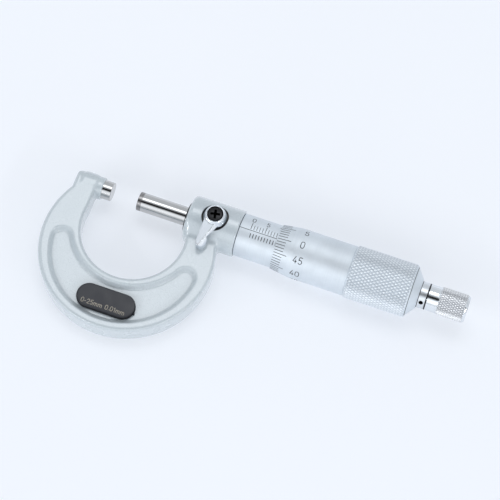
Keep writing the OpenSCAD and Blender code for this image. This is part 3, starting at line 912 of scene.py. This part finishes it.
def build_sleeve_marks(mats):
    strokes = [([(DATUM_X0, DATUM), (DATUM_X1, DATUM)], SLEEVE_LINE)]
    for k in range(SLEEVE_MM + 1):
        x = ZERO_X + k
        numbered = k % NUMBER_EVERY == 0
        end = LONG_MARK if numbered else SHORT_MARK
        strokes.append(([(x, MM_MARK), (x, end)], SLEEVE_LINE if numbered else SLEEVE_FINE_LINE))
        if numbered:
            strokes += round_text(str(k), x + SLEEVE_FIGURE_SHIFT, SLEEVE_FIGURE_ANGLE,
                                  SLEEVE_FIGURE_H, SLEEVE_FIGURE_W, SLEEVE_R)
        if k < SLEEVE_MM:
            strokes.append(([(x + 0.5, HALF_MARK[0]), (x + 0.5, HALF_MARK[1])], HALF_LINE))
    build_round_marks("sleeve_marks", strokes, SLEEVE_R, lambda x: np.full(len(x), SLEEVE_R),
                      mats["ink"], "sleeve")


def build_thimble_marks(mats):
    strokes = []
    for k in range(DIVISIONS):
        angle = THIMBLE_ZERO - DIVISION_ANGLE * k
        numbered = k % NUMBER_EVERY == 0
        end = THIMBLE_X0 + (THIMBLE_LONG_MARK if numbered else THIMBLE_MARK)
        strokes.append(([(THIMBLE_X0 + MARK_INSET, angle), (end, angle)], THIMBLE_LINE))
        if numbered:
            strokes += round_text(str(k), THIMBLE_FIGURE_X, angle,
                                  THIMBLE_FIGURE_H, THIMBLE_FIGURE_W, THIMBLE_R)
    build_round_marks("thimble_marks", strokes, THIMBLE_R, thimble_radius, mats["ink"], "thimble")


# ---------------------------------------------------------------- thimble and knob

def build_thimble(mats):
    core = KNURL_R - KNURL_DEPTH - UNDER_KNURL
    barrel = lathe("thimble_barrel", [
        (THIMBLE_X0, LIP_R), (THIMBLE_X0, BEVEL_R - FRONT_CHAMFER[1]),
        (THIMBLE_X0 + FRONT_CHAMFER[0], BEVEL_R), (THIMBLE_X0 + BEVEL_LEN, THIMBLE_R),
        (KNURL_X0 - GROOVE_W - GROOVE_EDGE, THIMBLE_R),
        (KNURL_X0 - GROOVE_W, THIMBLE_R - GROOVE_DEPTH),
        (KNURL_X0 - GROOVE_W / 2, THIMBLE_R - GROOVE_DEPTH),
        (KNURL_X0 - GROOVE_EDGE, core), (KNURL_X1 - CORE_CHAMFER[0], core),
        (KNURL_X1, core - CORE_CHAMFER[1]), (KNURL_X1, CAP_ROOM_R),
        (CAP_X0 + CAP_LEN, CAP_ROOM_R), (CAP_X0 + CAP_LEN, CAP_R1), (CAP_X0, CAP_R0),
        (CAP_X0, BORE_R), (THIMBLE_X0 + LIP_SLOPE_END, BORE_R), (THIMBLE_X0 + LIP_END, LIP_R),
    ], mats["satin"], "thimble", THIMBLE_ROUND, THIMBLE_SEGMENTS)
    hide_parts("thimble")
    band = knurl("thimble_knurl", KNURL_X0, KNURL_X1 - BAND_SHORT, KNURL_R, KNURL_DEPTH,
                 KNURL_ROWS, KNURL_AROUND, mats["knurl"], "thimble")
    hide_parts("thimble")
    rim = lathe("thimble_rim", [
        (KNURL_X1 - RIM_LEN, RIM_BORE_R), (KNURL_X1 - RIM_LEN, KNURL_R - RIM_LOW),
        (KNURL_X1, KNURL_R - RIM_LOWER), (KNURL_X1, RIM_BORE_R),
    ], mats["satin"], "thimble", RIM_ROUND, THIMBLE_SEGMENTS)
    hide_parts("thimble")


def build_knob(mats):
    core = KNOB_R - KNOB_DEPTH - KNOB_UNDER_KNURL
    barrel = lathe("knob_barrel", [
        (KNOB_X0, KNOB_BORE_R), (KNOB_X0, KNOB_RING_R - KNOB_CHAMFER),
        (KNOB_X0 + KNOB_CHAMFER, KNOB_RING_R), (KNOB_X0 + KNOB_RING_LEN, KNOB_RING_R),
        (KNOB_KNURL_X0 - KNOB_SHOULDER[0], KNOB_R - KNOB_SHOULDER[1]),
        (KNOB_KNURL_X0, core), (KNOB_KNURL_X1, core), (KNOB_KNURL_X1, KNOB_R - KNOB_END_LOW),
        (KNOB_X1, KNOB_R - KNOB_END_LOWER), (KNOB_X1, PLUG_R), (KNOB_X0 + KNOB_WALL, PLUG_R),
        (KNOB_X0 + KNOB_WALL, KNOB_BORE_R),
    ], mats["polished"], "knob", KNOB_ROUND, KNOB_SEGMENTS)
    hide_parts("ratchet_knob")
    band = knurl("knob_knurl", KNOB_KNURL_X0, KNOB_KNURL_X1, KNOB_R, KNOB_DEPTH,
                 KNOB_ROWS, KNOB_AROUND, mats["knob_knurl"], "knob", KNOB_RUN_OUT)
    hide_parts("ratchet_knob")


def build_dark_gaps(mats):
    """Black rings: the bush's own black lip, and painted shade in the narrow gaps and the neck's
    hole, where no light gets in.
    """
    for name, body, x0, x1, r0, r1 in DARK_GAPS:
        lathe(name, [(x0, r0), (x0, r1), (x1, r1), (x1, r0)], mats["black"], body,
              GAP_ROUND, GAP_SEGMENTS)
    # the spanner hole in the neck, lined with a black cup of painted shade
    a = math.radians(HOLE_ANGLE)
    out = np.array([0, -math.sin(a), math.cos(a)])
    along = np.array([1.0, 0, 0])
    side = np.cross(out, along)
    mid, n = np.array([(NECK_X0 + NECK_X1) / 2, 0, 0]), HOLE_STEPS
    ring = [along * math.cos(t) + side * math.sin(t) for t in np.arange(n) * 2 * math.pi / n]
    verts = [mid + out * d + p * HOLE_R for d in (HOLE_OUT, HOLE_IN) for p in ring]
    faces = [(k, (k + 1) % n, n + (k + 1) % n, n + k) for k in range(n)]
    faces.append(tuple(range(n, 2 * n)))
    add_mesh("neck_hole_painted_shade", verts, faces, mats["black"], "thimble", 40)


# ---------------------------------------------------------------- studio

def look_at(obj, target):
    obj.rotation_euler = (Vector(target) - obj.location).to_track_quat("-Z", "Y").to_euler()


def softbox(name, at, target, width, height, power, colour):
    data = bpy.data.lights.new(name, "AREA")
    data.shape, data.size, data.size_y = "RECTANGLE", width, height
    data.energy, data.color = power, colour
    obj = bpy.data.objects.new(name, data)
    bpy.context.scene.collection.objects.link(obj)
    obj.location = at
    look_at(obj, target)


def build_floor():
    up = Vector(FLOOR_UP).normalized()
    m = Nodes("floor_paper")
    tone = m.ramp(m.noise(9, 3.0), [(NOISE_LOW, PAPER_LOW), (NOISE_HIGH, PAPER_HIGH)])
    m.set(Base_Color=tone,
          Roughness=0.75, Specular_IOR_Level=0.2, Normal=m.bump(m.noise(900, 2.0), 0.03, 0.0001),
          Emission_Color=PAPER_GLOW, Emission_Strength=PAPER_GLOW_STRENGTH)
    bpy.ops.mesh.primitive_circle_add(vertices=96, radius=FLOOR_R, fill_type="NGON")
    floor = bpy.context.object
    floor.name = "floor"
    floor.data.materials.append(m.mat)
    place = up.to_track_quat("Z", "Y").to_matrix().to_4x4()
    floor.matrix_world = Matrix.Translation(up * FLOOR_OFFSET * MM) @ place


def build_sky(scene):
    """A light tent: bright sides, a dark gap overhead and one plain tone towards the horizon."""
    world = bpy.data.worlds.new("studio")
    scene.world = world
    world.use_nodes = True
    tree = world.node_tree
    back = tree.nodes["Background"]
    back.inputs["Strength"].default_value = SKY_STRENGTH
    # the angle from -Y over the top to +Y, spread over the ramp
    coord = tree.nodes.new("ShaderNodeTexCoord")
    parts = tree.nodes.new("ShaderNodeSeparateXYZ")
    lean = tree.nodes.new("ShaderNodeMath")
    lean.operation = "ARCTAN2"
    spread_out = tree.nodes.new("ShaderNodeMapRange")
    spread_out.inputs["From Min"].default_value = -math.pi / 2
    spread_out.inputs["From Max"].default_value = math.pi / 2
    ramp = tree.nodes.new("ShaderNodeValToRGB")
    el = ramp.color_ramp.elements
    while len(el) < len(SKY_STOPS):
        el.new(0.5)
    for e, (at, v) in zip(el, SKY_STOPS):
        e.position = at
        e.color = (*(v * c for c in SKY_TINT), 1)
    tree.links.new(coord.outputs["Generated"], parts.inputs["Vector"])
    tree.links.new(parts.outputs["Y"], lean.inputs[0])
    tree.links.new(parts.outputs["Z"], lean.inputs[1])
    tree.links.new(lean.outputs[0], spread_out.inputs["Value"])
    tree.links.new(spread_out.outputs["Result"], ramp.inputs["Fac"])
    # sockets 6, 7 and 2 are A, B and the result when a mix node works on colours
    fade = tree.nodes.new("ShaderNodeMapRange")
    fade.inputs["From Min"].default_value = HORIZON_Z0
    fade.inputs["From Max"].default_value = HORIZON_Z1
    mix = tree.nodes.new("ShaderNodeMix")
    mix.data_type = "RGBA"
    mix.inputs[6].default_value = (*(HORIZON_LEVEL * c for c in SKY_TINT), 1)
    tree.links.new(parts.outputs["Z"], fade.inputs["Value"])
    tree.links.new(fade.outputs["Result"], mix.inputs["Factor"])
    tree.links.new(ramp.outputs["Color"], mix.inputs[7])
    tree.links.new(mix.outputs[2], back.inputs["Color"])


def build_camera(scene):
    cam = bpy.data.cameras.new("camera")
    cam.lens, cam.sensor_width, cam.sensor_fit = LENS_MM, SENSOR_MM, "HORIZONTAL"
    cam.clip_start, cam.clip_end = 0.01, 50.0
    obj = bpy.data.objects.new("camera", cam)
    scene.collection.objects.link(obj)
    right, upward = Vector(CAMERA_RIGHT).normalized(), Vector(CAMERA_UP).normalized()
    back = right.cross(upward).normalized()
    upward = back.cross(right)
    turn = Matrix((right, upward, back)).transposed().to_4x4()
    obj.matrix_world = Matrix.Translation(CAMERA_AT) @ turn
    scene.camera = obj


def build_studio():
    scene = bpy.context.scene
    build_floor()
    build_sky(scene)
    for name, at, width, height, power, colour in SOFTBOXES:
        softbox(name, at, LIT_POINT, width, height, power, colour)
    build_camera(scene)
    scene.view_settings.view_transform = "Standard"


# ---------------------------------------------------------------- all of it

# which material each CAD node wears, those that finer pieces stand for included
CAD_LOOKS = {
    "enamel": ("frame",),
    "ground": ("anvil", "spindle"),
    "carbide": ("spindle_tip",),
    "satin": ("sleeve", "thimble", "thimble_cap", "ratchet_end_plug"),
    "polished": ("ratchet_knob",),
    "neck": ("ratchet_body",),
    "lever": ("lock_lever",),
    "screw": ("lock_screw",),
    "black": ("inner_sleeve", "lock_seat"),
    "plate": ("nameplate",),
    "brass": ("lock_shoe",),
    "plain_steel": ("adjusting_nut", "ratchet_keys", "ratchet_disc", "ratchet_spring",
                    "ratchet_washer", "ratchet_screw", "lock_stud"),
}


def finish_cad(mats):
    """Gives each carried-over CAD node its material."""
    for key, names in CAD_LOOKS.items():
        for name in names:
            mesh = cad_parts[name].data
            mesh.materials.clear()
            mesh.materials.append(mats[key])


def make_materials():
    return {
        "enamel": enamel("enamel_grey", (0.565, 0.62, 0.65), (0.44, 0.50, 0.53)),
        "satin": turned("satin_chrome", (0.75, 0.795, 0.835), 0.58, 5000, 0.05),
        # the second colour of a knurled material is the painted shade in its grooves, with some
        # dirt
        "knurl": knurled("knurled_chrome", (0.83, 0.865, 0.90), (0.66, 0.70, 0.74), 0.46),
        "knob_knurl": knurled("knurled_bright", (0.93, 0.94, 0.95), (0.62, 0.63, 0.65), 0.36),
        "polished": turned("polished_chrome", (0.80, 0.83, 0.86), 0.13, 5000, 0.04),
        "ground": turned("ground_steel", (0.58, 0.575, 0.57), 0.13, 9000, 0.10),
        "neck": turned("neck_steel", (0.74, 0.77, 0.80), 0.34, 5000, 0.05),
        "carbide": turned("hard_metal", (0.30, 0.29, 0.29), 0.26, 12000, 0.12),
        "lever": satin("lever_chrome", (0.76, 0.795, 0.835), 0.25),
        "plain_steel": turned("plain_steel", (0.5, 0.5, 0.51), 0.3),
        "brass": turned("brass", (0.72, 0.55, 0.25), 0.3),
        # black oxide of the seat and bush, and also the painted shade in the gaps and the neck's
        # hole
        "black": plain("black_oxide_and_gap_shade", (0.012, 0.012, 0.014), 0.38),
        "screw": plain("screw_black", (0.010, 0.010, 0.012), 0.24, 4000, 0.05, gloss=0.3),
        # painted shade for the screw's cross recess
        "recess_shade": plain("recess_painted_shade", (0.002, 0.002, 0.002), 0.8, 4000, 0.02, gloss=0.0),
        # painted shade on the plate's sides
        "plate_side_shade": plain("plate_side_shade", (0.008, 0.008, 0.011), 0.4, 5000, 0.06, gloss=0.12),
        "plate": plain("plate_black", (0.019, 0.020, 0.027), 0.36, 5000, 0.06),
        "ink": plain("scale_ink", (0.03, 0.032, 0.037), 0.6, gloss=0.2),
        "print": plain("plate_print", (0.42, 0.38, 0.31), 0.6),
    }


mats = make_materials()
finish_cad(mats)
build_frame(mats)
build_lock(mats)
build_seat(mats)
build_plate(mats)
build_thimble(mats)
build_knob(mats)
build_sleeve_marks(mats)
build_thimble_marks(mats)
build_dark_gaps(mats)
build_studio()
